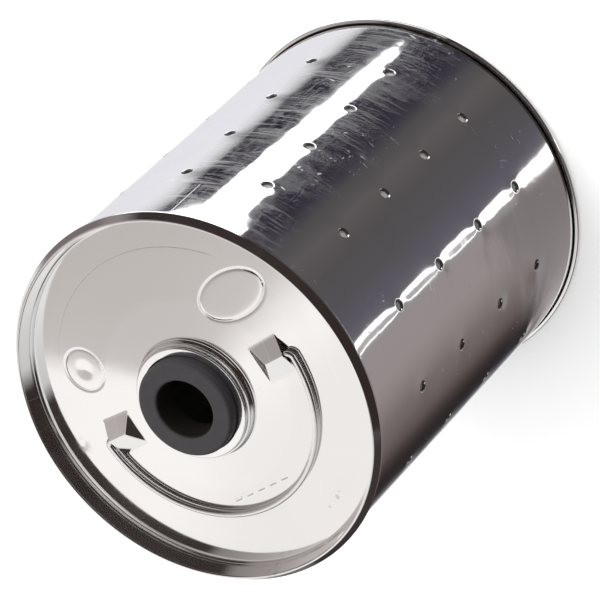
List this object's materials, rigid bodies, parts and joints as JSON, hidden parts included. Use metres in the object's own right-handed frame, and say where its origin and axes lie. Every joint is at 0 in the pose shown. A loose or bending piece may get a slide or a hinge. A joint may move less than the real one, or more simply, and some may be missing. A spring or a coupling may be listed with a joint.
{
  "type": "fuel filter cartridge",
  "caption": "Drop-in fine-filter cartridge: perforated tinplate can, domed end caps with rolled rims, rubber sealing grommets on a central passage, pleated paper pack, folding wire bail.",
  "frame": {"origin": "centre of the base rim's flat crest, on the can's axis", "axes": "+Z along the can's axis towards the bail and neck; X along the bail's pivot axis; at rest the bail lies on the -Y half of the handle-end panel"},
  "size_m": [0.0962, 0.0966, 0.1172],
  "materials": {
    "jacket_tin": "bright tinned sheet, light handling scratches",
    "handle_cap_tin": "bright tinned sheet",
    "base_cap_tin": "bright tinned sheet",
    "seam_compound": "matt lining compound",
    "grommet_rubber": "moulded, satin",
    "pressed_steel": "plain pressed sheet",
    "tube_steel": "plain rolled sheet",
    "gauze_brass": "woven gauze",
    "filter_paper": "resin-treated paper",
    "clip_aluminium": "mill finish",
    "cotton_cord": "twisted cord",
    "wool_felt": "felt",
    "end_card": "fibre board",
    "potting": "cured adhesive",
    "bail_wire": "bright drawn wire"
  },
  "bodies": {
    "can": {"outer_jacket": "jacket_tin", "handle_end_cap": "handle_cap_tin", "base_end_cap": "base_cap_tin", "handle_end_seam_compound": "seam_compound", "base_end_seam_compound": "seam_compound", "handle_end_grommet": "grommet_rubber", "base_end_grommet": "grommet_rubber", "handle_end_grommet_cup": "pressed_steel", "base_end_grommet_cup": "pressed_steel", "centre_tube": "tube_steel", "centre_tube_gauze": "gauze_brass", "pleated_paper_pack": "filter_paper", "pleat_clip": "clip_aluminium", "pack_cord": "cotton_cord", "prefilter_felt": "wool_felt", "handle_end_card_disc": "end_card", "base_end_card_disc": "end_card", "handle_end_potting": "potting", "base_end_potting": "potting"},
    "bail": {"bail_handle": "bail_wire"}
  },
  "joints": [
    {"name": "bail_pivot", "type": "hinge", "parent": "can", "child": "bail", "pos_m": [0, 0, 0.11095], "axis": [-1, 0, 0], "range_deg": [0, 180]}
  ]
}
